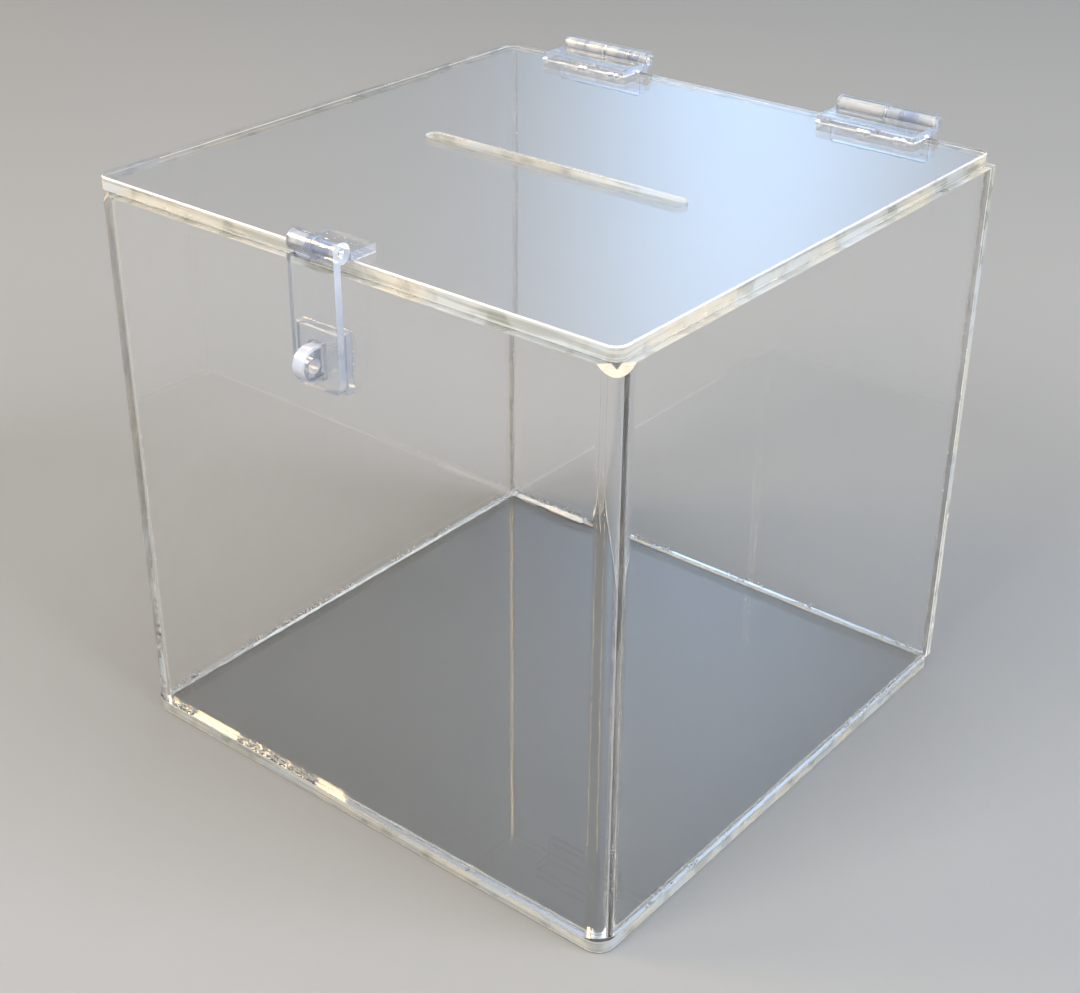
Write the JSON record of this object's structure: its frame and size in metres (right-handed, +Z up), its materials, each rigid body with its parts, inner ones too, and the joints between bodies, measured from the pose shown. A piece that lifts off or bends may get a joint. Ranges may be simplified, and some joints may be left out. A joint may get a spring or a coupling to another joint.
{
  "type": "donation box",
  "caption": "Clear acrylic donation box with a slotted lid hinged at the back and a padlock hasp on the front wall.",
  "frame": {"origin": "middle of the base panel's underside, where the box stands", "axes": "+Z up; -Y out of the front wall, which carries the hasp; +Y towards the hinges; +X to the right seen from the front"},
  "size_m": [0.2002, 0.219, 0.2023],
  "materials": {
    "clear_sheet": "polished clear acrylic sheet with flame-polished edges",
    "clear_moulded": "clear extruded acrylic hinge and hasp parts",
    "clear_rod": "clear acrylic rod"
  },
  "bodies": {
    "box": {"base_panel": "clear_sheet", "wall_wrap": "clear_sheet", "back_panel": "clear_sheet", "hinge_left_wall_leaf": "clear_moulded", "hinge_left_pin": "clear_rod", "hinge_right_wall_leaf": "clear_moulded", "hinge_right_pin": "clear_rod", "staple_plate": "clear_moulded", "staple_lug": "clear_moulded"},
    "lid": {"lid_panel": "clear_sheet", "hinge_left_lid_leaf": "clear_moulded", "hinge_right_lid_leaf": "clear_moulded", "hasp_lid_leaf": "clear_moulded", "hasp_pin": "clear_rod"},
    "strap": {"hasp_strap": "clear_moulded"}
  },
  "joints": [
    {"name": "lid_hinge", "type": "hinge", "parent": "box", "child": "lid", "pos_m": [0, 0.10305, 0.1989], "axis": [-1, 0, 0], "range_deg": [0, 180]},
    {"name": "hasp_hinge", "type": "hinge", "parent": "lid", "child": "strap", "pos_m": [-0.0002, -0.1026, 0.1991], "axis": [-1, 0, 0], "range_deg": [0, 180]}
  ]
}
